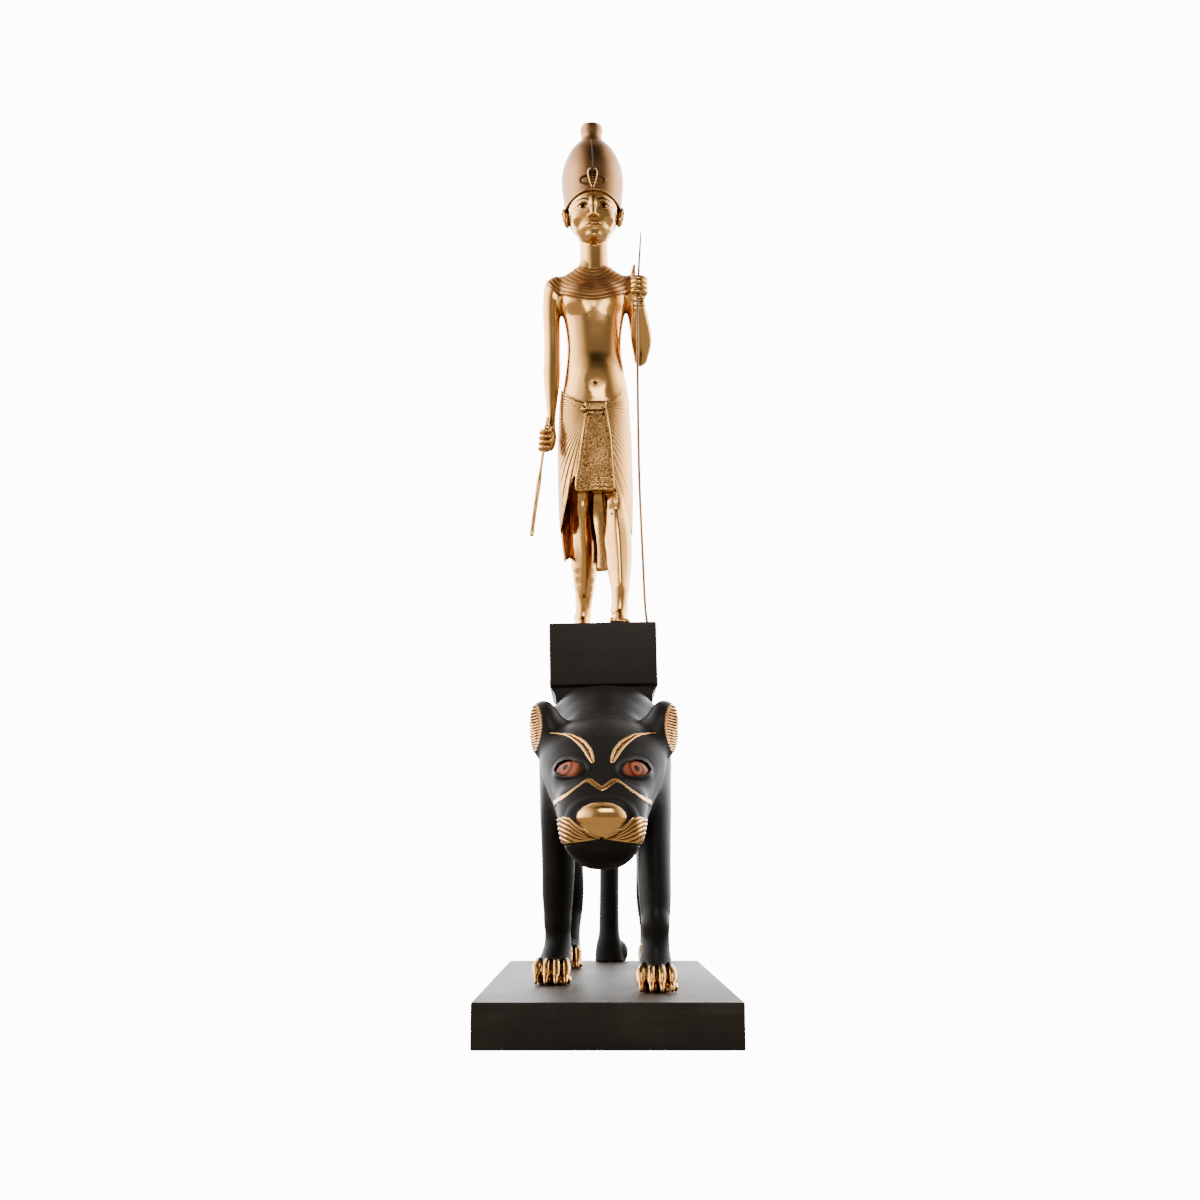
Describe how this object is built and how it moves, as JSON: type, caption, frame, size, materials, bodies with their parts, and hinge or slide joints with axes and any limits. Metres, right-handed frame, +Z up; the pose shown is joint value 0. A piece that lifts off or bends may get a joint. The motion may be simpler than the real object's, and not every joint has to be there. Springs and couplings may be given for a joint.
{
  "type": "pharaoh on leopard statue",
  "caption": "Gilded standing king in a tall crown, with staff and flail, on a pedestal carried by a striding black leopard with gilded features, on a long black plinth.",
  "frame": {"origin": "centre of the plinth's underside, which stands on the floor", "axes": "+Z up, -Y the way that the leopard and the king face, +X to their left"},
  "size_m": [0.204, 0.556, 0.8582],
  "materials": {
    "plinth_varnish": "satin black varnish over wood grain",
    "leopard_varnish": "matt black resin varnish with gilded details",
    "pedestal_varnish": "satin black varnish",
    "eye_glass": "polished red-brown glass over a dark pupil",
    "gold_leaf": "burnished gold leaf over carved wood",
    "bronze_inlay": "dark bronze with a gilded rim",
    "bronze_rod": "dull bronze",
    "gold_rod": "burnished gold"
  },
  "bodies": {
    "root": {"plinth": "plinth_varnish", "leopard": "leopard_varnish", "leopard_eye_right": "eye_glass", "leopard_eye_left": "eye_glass", "pedestal": "pedestal_varnish", "king": "gold_leaf", "uraeus": "bronze_inlay", "staff": "bronze_rod", "flail": "gold_rod"}
  },
  "joints": []
}
